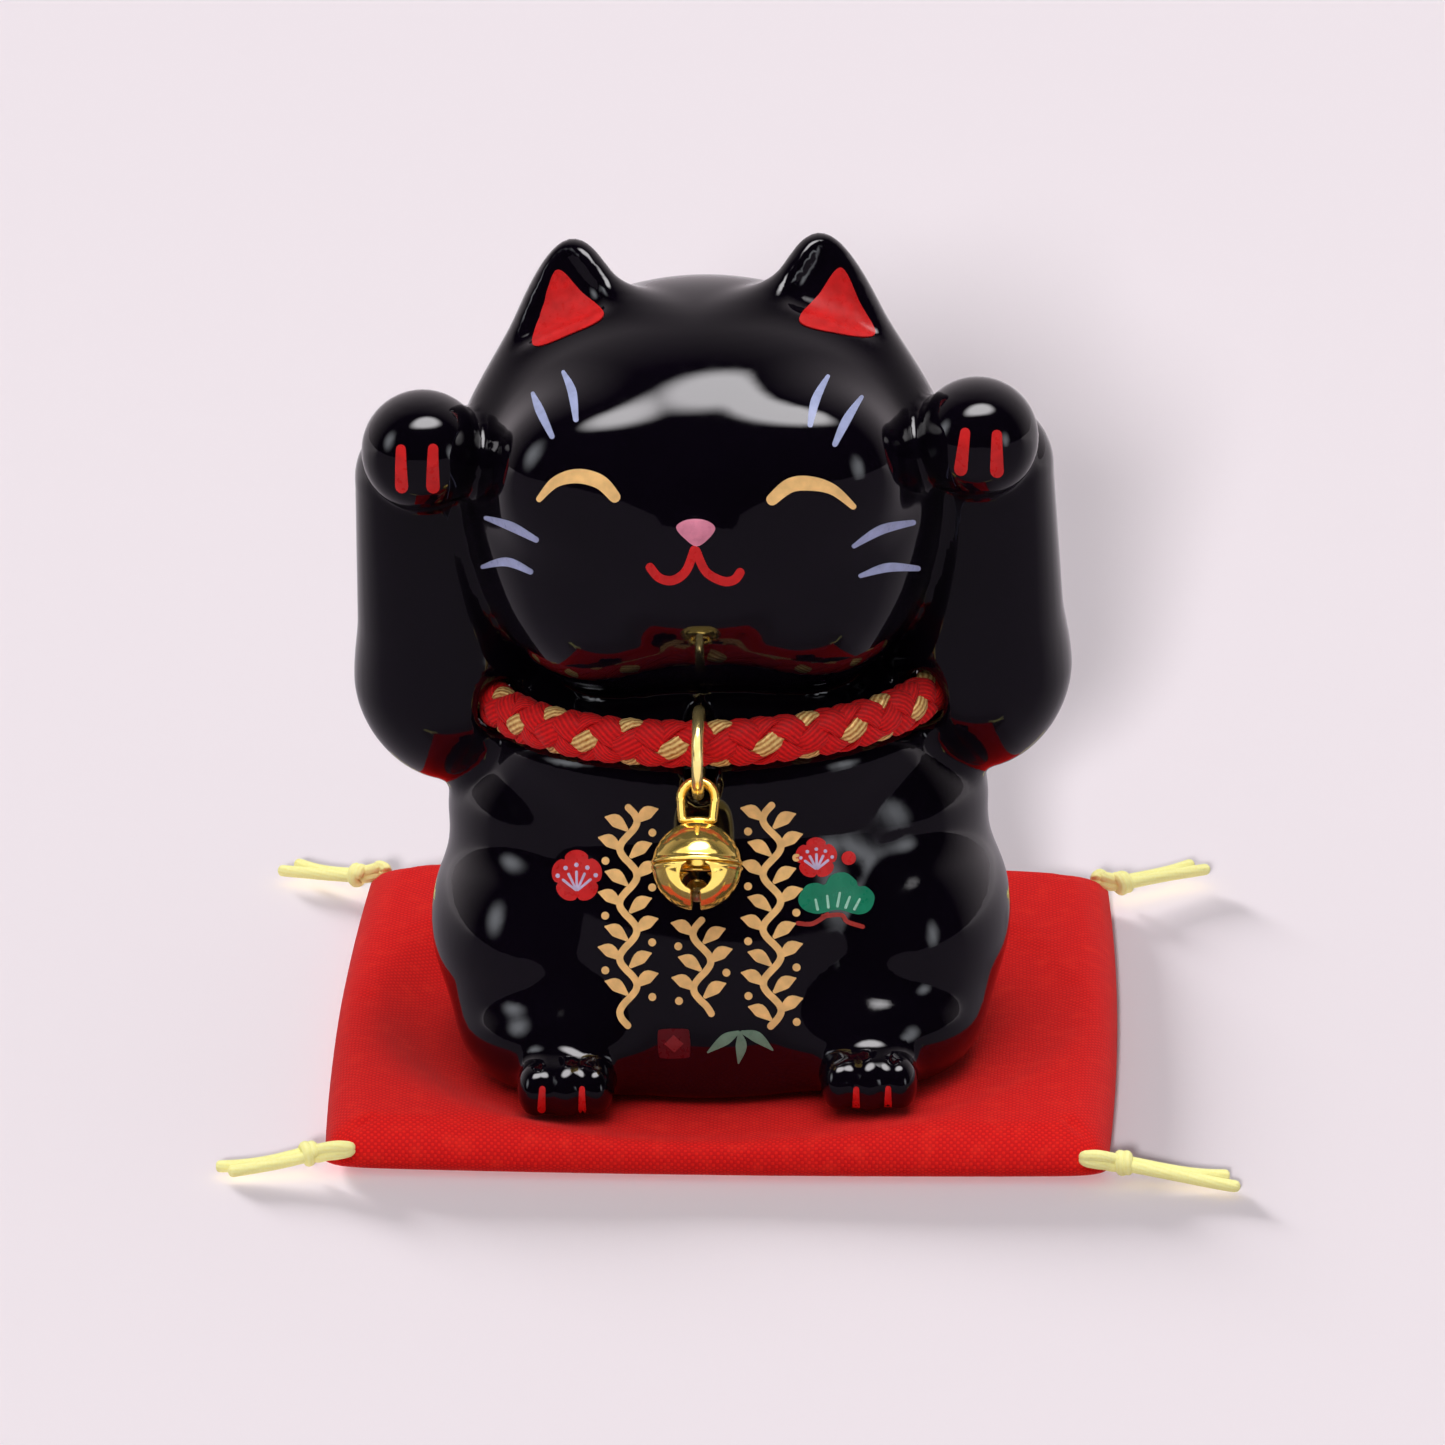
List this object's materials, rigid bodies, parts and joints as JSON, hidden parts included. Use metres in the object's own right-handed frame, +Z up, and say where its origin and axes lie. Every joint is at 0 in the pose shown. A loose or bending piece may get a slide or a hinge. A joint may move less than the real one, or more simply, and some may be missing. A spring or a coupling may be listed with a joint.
{
  "type": "beckoning cat figurine",
  "caption": "Glazed ceramic cat sitting with both paws raised, with a braided collar and a hanging bell, on a tied square cushion.",
  "frame": {"origin": "middle of the cushion's flat underside", "axes": "the cat faces -Y, +X is to the right of a person who looks at its face, +Z is up"},
  "size_m": [0.1154, 0.1015, 0.1003],
  "materials": {
    "black_glaze": "high gloss black glaze",
    "braid": "round braid of red cord with metallic gold strands",
    "braid_thread": "wound red thread",
    "ring_brass": "polished pale gold plate",
    "bell_brass": "polished gold plate",
    "pellet_steel": "plain steel",
    "red_cloth": "coarse plain weave",
    "wadding": "soft white wadding",
    "yellow_cord": "soft matt cord"
  },
  "bodies": {
    "cushion": {"cushion_bottom_cover": "red_cloth", "cushion_filling": "wadding", "cushion_top_cover": "red_cloth", "corner_tie_front_left": "yellow_cord", "corner_tie_front_right": "yellow_cord", "corner_tie_back_left": "yellow_cord", "corner_tie_back_right": "yellow_cord"},
    "cat": {"cat_body": "black_glaze", "collar_braid": "braid", "collar_knot": "braid_thread"},
    "ring": {"jump_ring": "ring_brass"},
    "bell": {"bell_hanger_eye": "bell_brass", "bell_upper_shell": "bell_brass", "bell_lower_shell": "bell_brass"},
    "pellet": {"bell_pellet": "pellet_steel"}
  },
  "joints": [
    {"name": "cat_lift", "type": "slide", "parent": "cushion", "child": "cat", "axis": [0, 0, 1], "range_m": [0, 0.12]},
    {"name": "ring_swing", "type": "hinge", "parent": "cat", "child": "ring", "pos_m": [-0.00238, -0.0292, 0.04674], "axis": [-1, 0, 0], "range_deg": [0, 70]},
    {"name": "bell_swing", "type": "hinge", "parent": "ring", "child": "bell", "pos_m": [-0.00238, -0.03194, 0.04169], "axis": [0, 0.8788, -0.4772], "range_deg": [-25, 25]},
    {"name": "pellet_rattle", "type": "slide", "parent": "bell", "child": "pellet", "axis": [0, 0, 1], "range_m": [0, 0.0025]}
  ]
}
